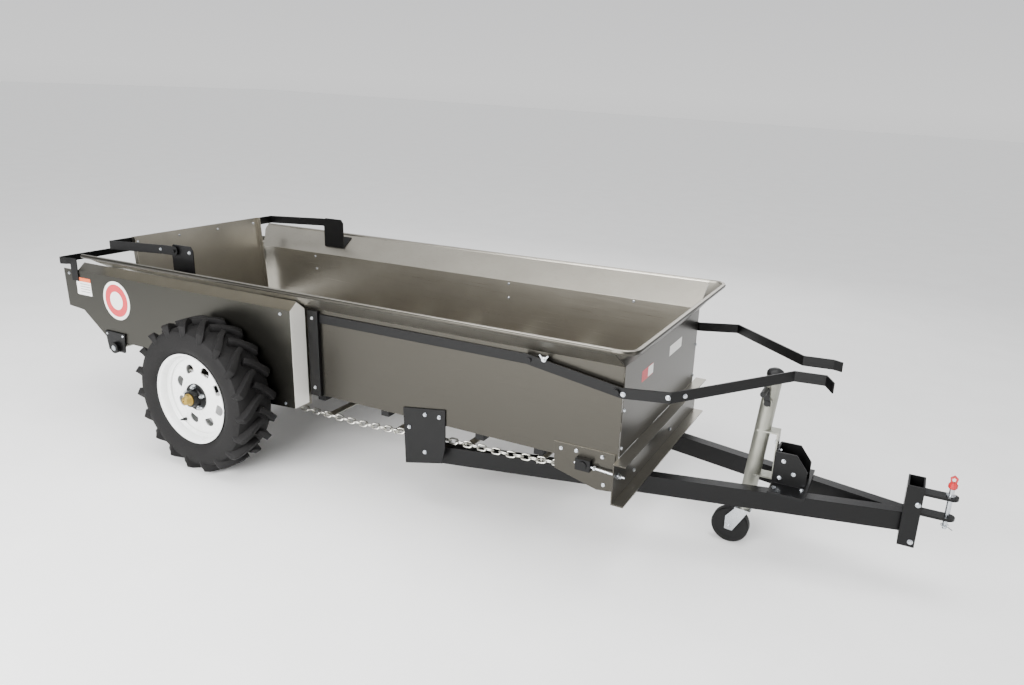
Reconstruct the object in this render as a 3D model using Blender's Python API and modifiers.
"""Compact ground-drive manure spreader, parked on its jack.

Machine frame: origin at the axle centre, +X to the hitch, +Y left, +Z up from the box floor. The whole
machine hangs from one empty that tips it nose-up until the tyres and the caster stand on z = 0.
"""

import math

import bmesh
import bpy
from mathutils import Matrix, Vector

# Running gear
TYRE_R = 0.350
TYRE_IN, TYRE_OUT = 0.600, 0.806
RIM_R = 0.2083
RIM_FACE = 0.791
CASTER_R = 0.0762
CASTER_X, CASTER_Z = 2.2399, -0.3440
# Box
SHEET = 0.0025
WALL_Y = 0.4817
WALL_LOW, WALL_BEND, RIM_Z = 0.021, 0.419, 0.5217
RIM_Y = 0.627
LIP_R, LIP_DROP = 0.010, 0.0047  # the rolled lip along the rim, and how far its middle hangs below the sheet
FRONT_X = 1.9018
OUT = 0.4833  # where a piece lies on the outside of a box side
HOUSE_Y = 0.5885
CROSS_X = (-0.640, -0.330, 0.487, 0.838, 1.309, 1.573)
# Apron
DRIVE_X, DRIVE_Z = -0.745, 0.062
IDLE_X, IDLE_Z = 1.770, 0.015
CHAIN_Y = 0.420
# Beater
BEAT_X, BEAT_Z, BEAT_R = -1.000, 0.300, 0.090
# Gate
GATE_PIVOT = (-0.315, 0.592)
GATE_Y = 0.422
# Drawbar
TUBE_W, TUBE_H, TUBE_WALL = 0.050, 0.076, 0.004
TUBE_TOP = -0.098
TONGUE_REAR, TONGUE_FRONT = (0.945, 0.4832), (2.8497, 0.036)
# Jack
JACK_FOOT = (2.296, 0.0, -0.157)
JACK_LEAN = math.atan2(0.039, 0.438)
JACK_R, JACK_BORE, LEG_R = 0.030, 0.0255, 0.0245

SIDES = (("right", -1), ("left", 1))


def park_pitch():
    """The nose-up angle at which the tyres and the caster wheel share one level tangent."""
    span = math.hypot(CASTER_X, CASTER_Z)
    return math.asin((CASTER_R - TYRE_R) / span) - math.atan2(CASTER_Z, CASTER_X)


def clear_scene():
    for obj in list(bpy.data.objects):
        bpy.data.objects.remove(obj, do_unlink=True)
    for name in ("manure_spreader", "cutters"):
        group = bpy.data.collections.new(name)
        bpy.context.scene.collection.children.link(group)


def empty(name, at=(0, 0, 0), parent=None, turn=(0, 0, 0)):
    obj = bpy.data.objects.new(name, None)
    obj.location, obj.rotation_euler, obj.parent = at, turn, parent
    obj.empty_display_size = 0.05
    bpy.data.collections["manure_spreader"].objects.link(obj)
    return obj


def material(name, colour, metal, rough):
    mat = bpy.data.materials.new(name)
    mat.use_nodes = True
    shader = mat.node_tree.nodes["Principled BSDF"]
    shader.inputs["Base Color"].default_value = (*colour, 1)
    shader.inputs["Metallic"].default_value = metal
    shader.inputs["Roughness"].default_value = rough
    mat.diffuse_color = (*colour, 1)
    return mat


STAINLESS = ((0.62, 0.62, 0.60), 1.0, 0.32)
ZINC = ((0.52, 0.53, 0.55), 1.0, 0.35)
BLACK = ((0.018, 0.018, 0.020), 0.0, 0.38)
WHITE = ((0.78, 0.77, 0.74), 0.0, 0.35)
RUBBER = ((0.020, 0.020, 0.021), 0.0, 0.75)
STEEL = ((0.30, 0.29, 0.28), 1.0, 0.48)
RED = ((0.50, 0.02, 0.02), 0.0, 0.40)
BROWN = ((0.10, 0.06, 0.035), 0.0, 0.55)


def node(obj, name, finish, parent, origin=(0, 0, 0)):
    """Turns a shape into a named piece, its origin moved onto its joint axis."""
    obj.name = name
    obj.data.name = name
    obj.hide_render = False
    obj.display_type = "TEXTURED"
    bpy.data.collections["cutters"].objects.unlink(obj)
    bpy.data.collections["manure_spreader"].objects.link(obj)
    obj.data.transform(Matrix.Translation(-Vector(origin)))
    obj.location = obj.location + Vector(origin)
    obj.parent = parent
    obj.data.materials.append(material(name, *finish))
    return obj


def shape(mesh, parent):
    """A mesh on a hidden helper object, until node() or a Boolean takes it."""
    bm = bmesh.new()
    bm.from_mesh(mesh)
    bmesh.ops.remove_doubles(bm, verts=bm.verts, dist=1e-6)
    bmesh.ops.recalc_face_normals(bm, faces=bm.faces)
    bm.to_mesh(mesh)
    bm.free()
    obj = bpy.data.objects.new("shape", mesh)
    bpy.data.collections["cutters"].objects.link(obj)
    obj.hide_render, obj.display_type, obj.parent = True, "WIRE", parent
    return obj


def from_curve(curve, parent, turn=Matrix.Identity(4)):
    """The solid that a curve makes, as a mesh with its caps welded."""
    guide = bpy.data.objects.new("guide", curve)
    mesh = bpy.data.meshes.new_from_object(guide)
    mesh.materials.clear()
    mesh.transform(turn)
    bpy.data.objects.remove(guide)
    bpy.data.curves.remove(curve)
    return shape(mesh, parent)


PLANES = {"xy": Matrix.Identity(3), "xz": Matrix(((1, 0, 0), (0, 0, 1), (0, 1, 0))),
          "yz": Matrix(((0, 0, 1), (1, 0, 0), (0, 1, 0)))}


def prism(outline, plane, low, high, parent=None, hole=None):
    """A flat outline as a filled 2D curve, extruded from low to high across its plane."""
    curve = bpy.data.curves.new("outline", "CURVE")
    curve.dimensions, curve.fill_mode, curve.extrude = "2D", "BOTH", (high - low) / 2
    for points in filter(None, (outline, hole)):
        spline = curve.splines.new("POLY")
        spline.points.add(len(points) - 1)
        spline.use_cyclic_u = True
        for point, (u, v) in zip(spline.points, points):
            point.co = (u, v, 0, 1)
    turn = PLANES[plane].to_4x4() @ Matrix.Translation((0, 0, (low + high) / 2))
    return from_curve(curve, parent, turn)


def box(low, high, parent=None):
    low, high = Vector(low), Vector(high)
    bm = bmesh.new()
    bmesh.ops.create_cube(bm, size=1, matrix=Matrix.Translation((low + high) / 2)
                          @ Matrix.Diagonal(high - low).to_4x4())
    return from_bmesh(bm, parent)


def rod(a, b, radius, sides=20, parent=None):
    """A round bar from a to b."""
    a, b = Vector(a), Vector(b)
    turn = (b - a).to_track_quat("Z", "Y").to_matrix().to_4x4()
    bm = bmesh.new()
    bmesh.ops.create_cone(bm, cap_ends=True, segments=sides, radius1=radius, radius2=radius,
                          depth=(b - a).length, matrix=Matrix.Translation((a + b) / 2) @ turn)
    return from_bmesh(bm, parent)


def from_bmesh(bm, parent):
    mesh = bpy.data.meshes.new("shape")
    bm.to_mesh(mesh)
    bm.free()
    return shape(mesh, parent)


def band(path, thick, closed=False):
    """The outline of a folded flat bar whose middle line is the path."""
    n = len(path)
    left, right = [], []
    for i, (x, y) in enumerate(path):
        a = path[i - 1] if closed or i else path[i]
        b = path[(i + 1) % n] if closed or i < n - 1 else path[i]
        d1 = Vector((x - a[0], y - a[1])).normalized()
        d2 = Vector((b[0] - x, b[1] - y)).normalized()
        mid = (d1 + d2).normalized()
        reach = thick / 2 / max(0.3, mid.dot(d1 if d1.length > 0.5 else d2))
        left.append((x - mid.y * reach, y + mid.x * reach))
        right.append((x + mid.y * reach, y - mid.x * reach))
    return (left, right) if closed else left + right[::-1]


def pipe(points, radius, parent=None):
    """A round bar bent along a line of points."""
    curve = bpy.data.curves.new("line", "CURVE")
    curve.dimensions, curve.bevel_depth, curve.bevel_resolution = "3D", radius, 2
    curve.use_fill_caps = True
    spline = curve.splines.new("POLY")
    spline.points.add(len(points) - 1)
    for point, place in zip(spline.points, points):
        point.co = (*place, 1)
    return from_curve(curve, parent)


def turned(profile, axis="y", steps=48, parent=None, centre=(0, 0, 0)):
    """A (radius, along) profile with a Screw modifier: a closed ring, or a line that ends on the axis."""
    ring = min(r for r, _ in profile) > 0
    area = sum(a[0] * b[1] - b[0] * a[1] for a, b in zip(profile, profile[1:] + profile[:1]))
    if area > 0:
        profile = profile[::-1]
    points = [(r, w, 0) if axis == "y" else (r, 0, w) for r, w in profile]
    edges = [(i, i + 1) for i in range(len(points) - 1)] + ([(len(points) - 1, 0)] if ring else [])
    mesh = bpy.data.meshes.new("profile")
    mesh.from_pydata(points, edges, [])
    obj = shape(mesh, parent)
    obj.location = centre
    mod = obj.modifiers.new("turn", "SCREW")
    mod.axis, mod.angle, mod.steps, mod.render_steps = axis.upper(), math.tau, steps, steps
    mod.use_merge_vertices, mod.merge_threshold, mod.use_smooth_shade = True, 0.0001, False
    return obj


def sheet(rows, thick, parent=None):
    """A lofted sheet through rows of points, thickened about its middle."""
    n = len(rows[0])
    mesh = bpy.data.meshes.new("sheet")
    mesh.from_pydata([p for row in rows for p in row], [],
                     [(r * n + i, r * n + i + 1, (r + 1) * n + i + 1, (r + 1) * n + i)
                      for r in range(len(rows) - 1) for i in range(n - 1)])
    obj = shape(mesh, parent)
    mod = obj.modifiers.new("thickness", "SOLIDIFY")
    mod.thickness, mod.offset, mod.use_even_offset = thick, 0, True
    return obj


def combine(base, others, how):
    for other in others:
        mod = base.modifiers.new(how.lower(), "BOOLEAN")
        mod.operation, mod.solver, mod.object = how, "EXACT", other
    return base


def union(base, *others):
    return combine(base, others, "UNION")


def cut(base, *others):
    return combine(base, others, "DIFFERENCE")


def arc(cx, cy, r, start, stop, steps):
    return [(cx + r * math.cos(math.radians(start + (stop - start) * k / steps)),
             cy + r * math.sin(math.radians(start + (stop - start) * k / steps)))
            for k in range(steps + 1)]


def mirrored(points, s):
    """Points of the left side, or of the right one where s is -1."""
    return [(s * p[0], *p[1:]) for p in points]


def span(s, low, high):
    """The two |Y| limits of a piece in ascending order on side s."""
    return (low, high) if s > 0 else (-high, -low)


def build_sides(root):
    for side, s in SIDES:
        path = [(s * WALL_Y, WALL_LOW), (s * WALL_Y, WALL_BEND), (s * RIM_Y, RIM_Z)]
        wall = prism(band(path, SHEET), "yz", -0.93, 1.900, root)
        lip = rod((-0.88, s * RIM_Y, RIM_Z - LIP_DROP), (1.9020, s * RIM_Y, RIM_Z - LIP_DROP), LIP_R, 20, root)
        rear = prism([(-1.2, 0.7), (-1.2, 0.0), (-0.700, 0.0), (-0.700, 0.115), (-0.775, 0.130),
                      (-0.775, 0.400), (-0.800, 0.430), (-0.875, 0.494), (-0.882, 0.506), (-0.882, 0.7)],
                     "xz", -0.7, 0.7, root)
        idler = rod((IDLE_X, -0.7, IDLE_Z), (IDLE_X, 0.7, IDLE_Z), 0.018, 20, root)
        cut(union(wall, lip), rear, idler)
        node(wall, f"side_panel_{side}", STAINLESS, root)


def build_front(root):
    """The front panel with its forward flare, whose corners run round into the side rims."""
    low, bend, top = [], [], []
    for y in (-0.480, -0.24, 0.0, 0.24, 0.480):
        low.append((FRONT_X, y, 0.0665))
        bend.append((FRONT_X, y, WALL_BEND))
    corner = [(RIM_Y, 1.9023), (RIM_Y, 1.930), (0.622, 1.952), (0.608, 1.969), (0.585, 1.977), (0.555, 1.978)]
    top = [(x, -y, RIM_Z) for y, x in corner] + [(1.978, y, RIM_Z) for y in (-0.2, 0.2)]
    top += [(x, y, RIM_Z) for y, x in reversed(corner)]
    n = len(corner)
    low = [low[0]] * n + low[1:4:2] + [low[4]] * n
    bend = [bend[0]] * n + bend[1:4:2] + [bend[4]] * n
    panel = sheet([low, bend, top], SHEET, root)
    bead = pipe([(x, y, z - LIP_DROP) for x, y, z in top], LIP_R, root)
    node(union(panel, bead), "front_panel", STAINLESS, root)


def build_floor(root):
    deck = box((-0.715, -0.4802, 0.060), (1.690, 0.4802, 0.072), root)
    node(deck, "floor_deck", BROWN, root)
    for i, x in enumerate(CROSS_X, 1):
        member = box((x - 0.020, -0.4802, -0.005), (x + 0.020, 0.4802, 0.0597), root)
        node(member, f"cross_member_{i}", BLACK, root)


def build_housings(root):
    """The sheet covers over the drive, with a folded top, a front closing panel and the axle notch."""
    outline = [(-1.101, 0.425), (-1.095, 0.230), (-0.981, 0.221), (-0.827, 0.104), (-0.672, 0.093),
               (-0.543, 0.093), (0.287, -0.028), (0.431, -0.021), (0.431, 0.425)]
    for side, s in SIDES:
        low, high = span(s, HOUSE_Y - 0.0015, HOUSE_Y + 0.0015)
        cover = prism(outline, "xz", low, high, root)
        top = prism(band([(s * HOUSE_Y, 0.4235), (s * 0.548, 0.4585)], SHEET), "yz", -0.990, 0.431, root)
        face = prism(mirrored([(0.4836, -0.030), (0.590, -0.021), (0.590, 0.425), (0.548, 0.4585),
                               (0.4836, 0.4150)], s), "yz", 0.428, 0.431, root)
        foot = prism(band([(s * 0.4850, 0.070), (s * 0.4850, 0.240), (s * HOUSE_Y, 0.240)], 0.0025),
                     "yz", 0.075, 0.165, root)
        axle = rod((0, -0.7, 0), (0, 0.7, 0), 0.030, 24, root)
        drive = rod((DRIVE_X, -0.7, DRIVE_Z), (DRIVE_X, 0.7, DRIVE_Z), 0.020, 20, root)
        boss = rod((BEAT_X, s * 0.568, BEAT_Z), (BEAT_X, s * HOUSE_Y, BEAT_Z), 0.028, 24, root)
        rotor = rod((BEAT_X, s * 0.560, BEAT_Z), (BEAT_X, s * 0.5868, BEAT_Z), 0.0133, 20, root)
        cut(union(cover, top, face, foot, boss), axle, drive, rotor)
        node(cover, f"wheel_housing_{side}", STAINLESS, root)
        post = box((0.4435, *span(s, OUT, 0.500)[:1], 0.020), (0.500, span(s, OUT, 0.500)[1], 0.414), root)
        node(post, f"housing_post_{side}", BLACK, root)
        low, high = span(s, OUT, 0.4893)
        node(box((0.5003, low, 0.360), (1.573, high, 0.400), root), f"side_bar_{side}", BLACK, root)


def build_guard(root):
    y = HOUSE_Y + 0.0043
    path = [(-0.985, -y), (-1.042, -y), (-1.066, -0.606), (-1.085, -0.612), (-1.100, -0.604), (-1.106, -0.586),
            (-1.106, 0.586), (-1.100, 0.604), (-1.085, 0.612), (-1.066, 0.606), (-1.042, y), (-0.985, y)]
    bar = prism(band(path, 0.005), "xy", 0.452, 0.484, root)
    tabs = []
    for _, s in SIDES:
        low, high = span(s, y - 0.0025, y + 0.0025)
        tabs.append(box((-1.035, low, 0.370), (-0.985, high, 0.456), root))
    node(union(bar, *tabs), "rear_guard_bar", BLACK, root)


def build_shafts(root):
    """The two apron shafts with their sprocket wheels, and the plates that carry them."""
    for name, x, z, reach, wheel in (("rear_drive_shaft", DRIVE_X, DRIVE_Z, 0.6070, 0.027),
                                     ("front_idler_shaft", IDLE_X, IDLE_Z, 0.4871, 0.027)):
        shaft = rod((x, -reach, z), (x, reach, z), 0.0125, 16, root)
        wheels = [rod((x, s * CHAIN_Y - 0.008, z), (x, s * CHAIN_Y + 0.008, z), wheel, 20, root)
                  for _, s in SIDES]
        node(union(shaft, *wheels), name, STEEL, root)
    for side, s in SIDES:
        low, high = span(s, HOUSE_Y + 0.0018, HOUSE_Y + 0.0098)
        plate = prism([(-0.820, 0.140), (-0.671, 0.140), (-0.687, 0.040), (-0.805, 0.042)], "xz", low, high, root)
        boss = rod((DRIVE_X, s * 0.594, DRIVE_Z), (DRIVE_X, s * 0.615, DRIVE_Z), 0.028, 24, root)
        bore = rod((DRIVE_X, s * 0.5, DRIVE_Z), (DRIVE_X, s * 0.6073, DRIVE_Z), 0.0128, 16, root)
        node(cut(union(plate, boss), bore), f"rear_bearing_{side}", BLACK, root)
        low, high = span(s, OUT, 0.4873)
        plate = prism([(1.641, 0.075), (1.891, 0.076), (1.883, -0.076), (1.823, -0.083), (1.647, -0.036)],
                      "xz", low, high, root)
        slot = rod((IDLE_X, -0.7, IDLE_Z), (IDLE_X, 0.7, IDLE_Z), 0.013, 20, root)
        node(cut(plate, slot), f"idler_plate_{side}", STAINLESS, root)
        low, high = span(s, 0.4876, 0.512)
        block = box((1.741, low, -0.009), (1.802, high, 0.038), root)
        screw = rod((1.795, s * 0.500, 0.012), (1.935, s * 0.500, 0.000), 0.006, 12, root)
        node(union(block, screw), f"tensioner_{side}", ZINC, root)


def build_apron(root):
    """The chain loop with its slats: the top strand over the deck and the return strand that sags under it."""
    r = 0.0325

    def round_wheel(x, z, start, stop, steps=4):
        return [(x + r * math.cos(a), z + r * math.sin(a))
                for a in (math.radians(start + (stop - start) * k / steps) for k in range(steps + 1))]

    top = [*round_wheel(DRIVE_X, DRIVE_Z, 178.4, 100), (-0.690, 0.0835), (1.685, 0.0835),
           *round_wheel(IDLE_X, IDLE_Z, 70, 1.6)]
    low = [*round_wheel(IDLE_X, IDLE_Z, -1.6, -90), (1.640, -0.048), (1.400, -0.066), (1.000, -0.074),
           (0.860, -0.090), (0.650, -0.102), (0.300, -0.098), (0.000, -0.088), (-0.350, -0.072),
           (-0.600, -0.045), *round_wheel(DRIVE_X, DRIVE_Z, 260, 181.6)]
    high_slats = [(x, 0.0838, 0.0950) for x in (-0.45, -0.10, 0.25, 0.60, 0.95, 1.30, 1.62)]
    low_slats = [(x, z - 0.0150, z - 0.0010) for x, z in (
        (1.55, -0.0567), (1.22, -0.0718), (0.85, -0.0925), (0.47, -0.1020), (0.15, -0.0950), (-0.20, -0.0810),
        (-0.48, -0.0610))]
    for name, path, slats in (("apron_chain_top", top, high_slats), ("apron_chain_return", low, low_slats)):
        outline = band(path, 0.007)
        strands = [prism(outline, "xz", s * CHAIN_Y - 0.010, s * CHAIN_Y + 0.010, root) for _, s in SIDES]
        bars = [box((x - 0.012, -CHAIN_Y, z0), (x + 0.012, CHAIN_Y, z1), root) for x, z0, z1 in slats]
        node(union(*strands, *bars), name, STEEL, root)


def build_axle(root):
    beam = box((-0.025, -0.560, -0.025), (0.025, 0.560, 0.0200), root)
    stub = rod((0, -0.700, 0), (0, 0.700, 0), 0.0160, 24, root)
    hangers = [box((-0.060, span(s, OUT, 0.4913)[0], -0.0250), (0.060, span(s, OUT, 0.4913)[1], 0.170), root)
               for _, s in SIDES]
    node(union(beam, stub, *hangers), "axle_beam", BLACK, root)


def build_wheels(root):
    tyre = [(RIM_R - 0.0080, 0.6275), (0.2250, 0.6190), (0.2600, 0.6050), (0.2900, 0.6010), (0.3200, 0.6060),
            (0.3420, 0.6180), (TYRE_R, 0.6420), (TYRE_R, 0.7640), (0.3420, 0.7880), (0.3200, 0.8000),
            (0.2900, 0.8050), (0.2600, 0.8010), (0.2250, 0.7870), (RIM_R - 0.0080, 0.7785),
            (RIM_R - 0.0080, 0.7670), (0.2400, 0.7790), (0.2900, 0.7880), (0.3200, 0.7760),
            (0.3300, 0.7400), (0.3300, 0.6660), (0.3200, 0.6300), (0.2900, 0.6180), (0.2400, 0.6270),
            (RIM_R - 0.0080, 0.6390)]
    rim = [(0.2000, 0.6390), (0.2000, 0.6270), (RIM_R, 0.6200), (RIM_R, 0.6150), (0.2050, 0.6150),
           (0.1960, 0.6250), (0.1960, 0.6410), (0.1780, 0.6560), (0.1780, 0.7340), (0.0620, 0.7520),
           (0.0400, 0.7520), (0.0400, 0.7560), (0.0640, 0.7560), (0.1790, 0.7385), (0.1960, 0.7620),
           (0.1960, 0.7810), (0.2050, RIM_FACE), (RIM_R, RIM_FACE), (RIM_R, 0.7850), (0.2000, 0.7790),
           (0.2000, 0.7610), (0.1820, 0.7370), (0.1820, 0.6580)]
    hub = [(0.0, 0.7300), (0.0170, 0.7300), (0.0170, 0.6150), (0.0420, 0.6150), (0.0420, 0.7430), (0.0600, 0.7430), (0.0600, 0.7517),
           (0.0395, 0.7517), (0.0395, 0.7700), (0.0330, 0.7760), (0.0330, 0.8180), (0.0290, 0.8260),
           (0.0, 0.8280)]
    for side, s in SIDES:
        axis = empty(f"wheel_axis_{side}", (0, 0, 0), root)
        made = [turned([(r, s * w) for r, w in profile], "y", steps, axis)
                for profile, steps in ((tyre, 40), (rim, 40), (hub, 24))]
        windows = [rod((0.125 * math.cos(a), s * 0.70, 0.125 * math.sin(a)),
                       (0.125 * math.cos(a), s * 0.78, 0.125 * math.sin(a)), 0.020, 16, axis)
                   for a in (math.tau * (k + 0.5) / 8 for k in range(8))]
        node(made[0], f"tyre_{side}", RUBBER, axis)
        node(cut(made[1], *windows), f"rim_{side}", WHITE, axis)
        node(made[2], f"hub_{side}", BLACK, axis)


def build_beater(root):
    axis = empty("beater_axis", (BEAT_X, 0, BEAT_Z), root)
    shaft = rod((0, -0.5863, 0), (0, 0.5863, 0), 0.0125, 16, axis)
    drum = rod((0, -0.555, 0), (0, 0.555, 0), 0.034, 20, axis)
    paddles = []
    for k in range(12):
        y, a = -0.506 + 0.092 * k, math.radians(75 * k)
        out = Vector((math.cos(a), 0, math.sin(a)))
        across = Vector((-math.sin(a), 0, math.cos(a))) * 0.004
        ends = [out * r + across * t for r in (0.020, BEAT_R) for t in (-1, 1)]
        ring = [ends[0], ends[1], ends[3], ends[2]]
        paddles.append(prism([(v.x, v.z) for v in ring], "xz", y - 0.030, y + 0.030, axis))
    node(union(drum, shaft, *paddles), "beater_rotor", BLACK, axis)


def build_drawbar(root):
    (x0, y0), (x1, y1) = TONGUE_REAR, TONGUE_FRONT
    slope = Vector((x1 - x0, y1 - y0)).normalized()
    inward = Vector((slope.y, -slope.x))
    for side, s in SIDES:
        far = Vector((x1, y1)) + slope * 0.05
        corners = [Vector((x0, y0)), far, far + inward * TUBE_W, Vector((x0, y0)) + inward * TUBE_W]
        outer = prism([(p.x, s * p.y) for p in corners], "xy", TUBE_TOP - TUBE_H, TUBE_TOP, root)
        w = TUBE_WALL
        back, tip = Vector((x0, y0)) - slope * 0.05, far + slope * 0.05
        hole = [back + inward * w, tip + inward * w, tip + inward * (TUBE_W - w), back + inward * (TUBE_W - w)]
        bore = prism([(p.x, s * p.y) for p in hole], "xy", TUBE_TOP - TUBE_H + w, TUBE_TOP - w, root)
        low, high = span(s, -0.2, 0.0003)
        middle = box((2.3, low, -0.3), (3.1, high, 0.1), root)
        end = box((TONGUE_FRONT[0], -0.3, -0.3), (3.1, 0.3, 0.1), root)
        node(cut(outer, bore, middle, end), f"tongue_tube_{side}", BLACK, root)
        low, high = span(s, OUT + 0.0003, 0.4895)
        plate = prism([(0.941, 0.062), (1.150, 0.092), (1.150, -0.078), (1.135, -0.150), (0.950, -0.192)],
                      "xz", low, high, root)
        node(plate, f"frame_bracket_{side}", BLACK, root)
    channel = prism(band([(1.952, 0.0635), (1.9058, 0.0635), (1.9058, -0.0952), (1.952, -0.0952)], 0.005),
                    "xz", -0.545, 0.545, root)
    holes = [rod((1.89, s * 0.500, 0.004), (1.92, s * 0.500, 0.0013), 0.0068, 12, root) for _, s in SIDES]
    node(cut(channel, *holes), "front_channel", STAINLESS, root)


def build_hitch(root):
    column = box((2.850, -0.052, -0.222), (2.908, 0.052, 0.020), root)
    hollow = box((2.856, -0.046, -0.300), (2.902, 0.046, 0.100), root)
    tabs = []
    for low, high in ((-0.020, -0.010), (-0.100, -0.090)):
        outline = [(2.904, -0.026), *arc(2.993, 0, 0.0275, -70, 70, 10), (2.904, 0.026)]
        tabs.append(prism(outline, "xy", low, high, root))
    bore = rod((2.993, 0, -0.2), (2.993, 0, 0.1), 0.0095, 24, root)
    cut(column, hollow)
    union(column, *tabs)
    node(cut(column, bore), "hitch_clevis", BLACK, root)
    pin = turned([(0, -0.140), (0.007, -0.140), (0.009, -0.134), (0.009, 0.020), (0, 0.020)],
                 "z", 24, root, (2.993, 0, 0))
    head = turned([(0.0085, -0.0097), (0.016, -0.0097), (0.016, -0.004), (0.0085, -0.004)], "z", 24, root,
                  (2.993, 0, 0))
    node(union(pin, head), "hitch_pin", ZINC, root)
    grip = turned([(0, 0.0203), (0.012, 0.0203), (0.016, 0.026), (0.016, 0.036), (0.011, 0.044), (0, 0.044)],
                  "z", 20, root, (2.993, 0, 0))
    loop = band([(2.993, 0.040), (2.985, 0.048), (2.983, 0.060), (2.993, 0.068), (3.003, 0.060),
                 (3.001, 0.048), (2.995, 0.041)], 0.006)
    ring = prism(loop, "xz", -0.005, 0.005, root)
    node(union(grip, ring), "pin_handle", RED, root)


def build_jack(root):
    """The screw jack in its own leaning frame: z runs up the tube from its foot."""
    jack = empty("jack_axis", JACK_FOOT, root, (0, JACK_LEAN, 0))
    tube = rod((0, 0, -0.008), (0, 0, 0.486), JACK_R, 28, jack)
    clip = prism(band([(2.302, 0.100), (2.3810, 0.100), (2.3810, -0.090), (2.290, -0.090)], 0.006),
                 "xz", -0.030, 0.030, root)
    gearbox = rod((0, -0.047, 0.385), (0, 0, 0.385), 0.017, 16, jack)
    bore = rod((0, 0, -0.050), (0, 0, 0.345), JACK_BORE, 28, jack)
    node(cut(union(tube, clip, gearbox), bore), "jack_tube", ZINC, jack)
    cap = turned([(0, 0.4863), (0.0330, 0.4863), (0.0330, 0.4960), (0.0280, 0.5050), (0.0150, 0.5120), (0, 0.5140)],
                 "z", 28, jack)
    node(cap, "jack_cap", BLACK, jack)
    arm = prism([(-0.010, 0.375), (0.014, 0.375), (-0.004, 0.448), (-0.024, 0.446)], "xz", -0.0560, -0.0500, jack)
    hub = rod((0, -0.0473, 0.385), (0, -0.0600, 0.385), 0.012, 16, jack)
    knob = rod((-0.0145, -0.053, 0.438), (-0.0145, -0.118, 0.438), 0.011, 16, jack)
    node(union(arm, hub, knob), "jack_crank", BLACK, jack)

    plate = box((2.3843, -0.0545, -0.0960), (2.3923, 0.0545, 0.0370), root)
    base = box((2.3843, -0.145, -0.0977), (2.5200, 0.145, -0.0900), root)
    outline = [(2.388, -0.094), (2.510, -0.094), (2.510, -0.020), (2.465, 0.040), (2.388, 0.040)]
    cheeks = [prism(outline, "xz", *span(s, 0.050, 0.056), root) for _, s in SIDES]
    node(union(plate, base, *cheeks), "jack_mount", BLACK, root)

    node(rod((0, 0, -0.0980), (0, 0, 0.2580), LEG_R, 24, jack), "jack_leg", ZINC, jack)
    trail = -0.0392
    crown = box((-0.034, -0.0320, -0.1043), (0.030, 0.0320, -0.0983), jack)
    legs = []
    for _, s in SIDES:
        low, high = span(s, 0.0278, 0.0318)
        legs.append(prism([(-0.030, -0.1000), (0.022, -0.1000), (0.010, -0.130), (trail + 0.016, -0.205),
                           (trail - 0.016, -0.205), (trail - 0.022, -0.150)], "xz", low, high, jack))
    pin = rod((trail, -0.0380, -0.1912), (trail, 0.0380, -0.1912), 0.0060, 16, jack)
    node(union(crown, *legs, pin), "caster_fork", ZINC, jack)
    axis = empty("caster_axis", (CASTER_X, 0, CASTER_Z), root)
    wheel = [(0.0065, -0.0220), (0.0200, -0.0220), (0.0230, -0.0160), (0.0560, -0.0160), (0.0600, -0.0210),
             (0.0720, -0.0210), (CASTER_R, -0.0150), (CASTER_R, 0.0150), (0.0720, 0.0210), (0.0600, 0.0210),
             (0.0560, 0.0160), (0.0230, 0.0160), (0.0200, 0.0220), (0.0065, 0.0220)]
    node(turned(wheel, "y", 40, axis), "caster_wheel", BLACK, axis)


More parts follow.
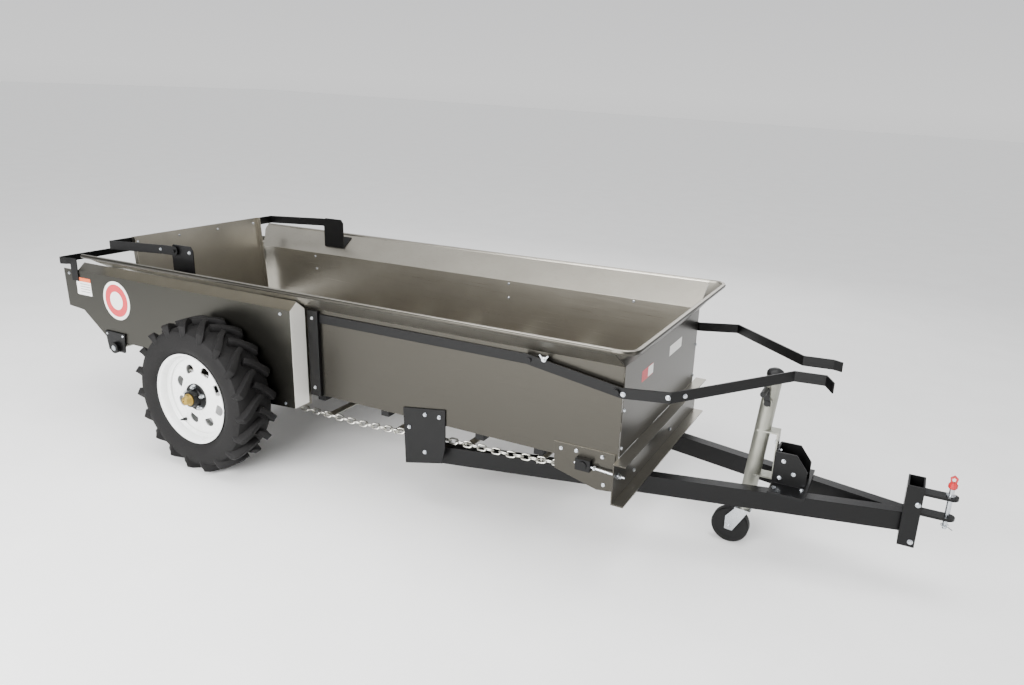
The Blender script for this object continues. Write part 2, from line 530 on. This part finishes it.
def build_gate(root):
    px, pz = GATE_PIVOT
    axis = empty("gate_axis", (px, 0, pz), root)
    lean = math.atan2(0.030, 0.385)
    frame = empty("gate_frame", (-0.4564, 0, 0.0030), axis, (0, -lean, 0))
    y = GATE_Y
    outline = band([(0.025, -y), (0, -y), (0, y), (0.025, y)], SHEET)
    node(prism(outline, "xy", -0.4750, 0.0, frame), "gate_panel", STAINLESS, frame)
    bar = box((-0.4640, -0.5430, -0.042), (-0.4580, 0.5430, 0.000), axis)
    node(bar, "gate_crossbar", BLACK, axis)
    for side, s in SIDES:
        low, high = span(s, 0.5370, 0.5430)
        outline = [(-0.4577, -0.042), (-0.060, -0.021), *arc(0, 0, 0.021, -90, 90, 8), (-0.060, 0.021),
                   (-0.4577, 0.000)]
        arm = prism(outline, "xz", low, high, axis)
        hole = rod((0, -0.6, 0), (0, 0.6, 0), 0.0075, 16, axis)
        node(cut(arm, hole), f"gate_arm_{side}", BLACK, axis)
        low, high = span(s, 0.5250, 0.5310)
        plate = prism([(px - 0.030, 0.458), (px + 0.110, 0.458), (px + 0.110, 0.600), (px + 0.095, 0.620),
                       (px - 0.018, 0.620), (px - 0.030, 0.608)], "xz", low, high, root)
        foot = prism(band([(s * 0.5280, 0.4570), (s * 0.6000, 0.5080)], 0.005), "yz",
                     px - 0.030, px + 0.110, root)
        bolt = rod((px, s * 0.5250, pz), (px, s * 0.5500, pz), 0.0070, 16, root)
        node(union(plate, foot, bolt), f"gate_bracket_{side}", STAINLESS, root)


def build_levers(root):
    """Two flat hand levers, pinned at the front corners of the box and drawn together over the drawbar."""
    line = [(1.505, 0.5060, 0.390), (1.905, 0.5060, 0.328), (2.080, 0.5060, 0.346), (2.420, 0.1050, 0.370),
            (2.530, 0.1050, 0.374), (2.560, 0.1350, 0.360)]
    for side, s in SIDES:
        rows = [[(x, s * y, z + h) for x, y, z in line] for h in (-0.020, 0.020)]
        bar = sheet(rows, 0.006, root)
        pivot = rod((1.885, s * 0.4833, 0.330), (1.885, s * 0.5200, 0.330), 0.012, 16, root)
        rest = rod((1.534, s * 0.4896, 0.386), (1.534, s * 0.5150, 0.386), 0.009, 12, root)
        node(union(bar, pivot, rest), f"control_lever_{side}", BLACK, root)


def centre(root):
    """Moves the machine along X until its bounding box is centred."""
    bpy.context.view_layer.update()
    graph = bpy.context.evaluated_depsgraph_get()
    xs = []
    for obj in bpy.data.collections["manure_spreader"].objects:
        if obj.type == "MESH":
            made = obj.evaluated_get(graph)
            xs += [(made.matrix_world @ v.co).x for v in made.data.vertices]
    root.location.x -= (min(xs) + max(xs)) / 2


def main():
    clear_scene()
    root = empty("machine", (0, 0, TYRE_R), None, (0, -park_pitch(), 0))
    for build in (build_sides, build_front, build_floor, build_housings, build_guard, build_shafts,
                  build_apron, build_axle, build_wheels, build_beater, build_drawbar, build_hitch,
                  build_jack, build_gate, build_levers):
        build(root)
    centre(root)


main()
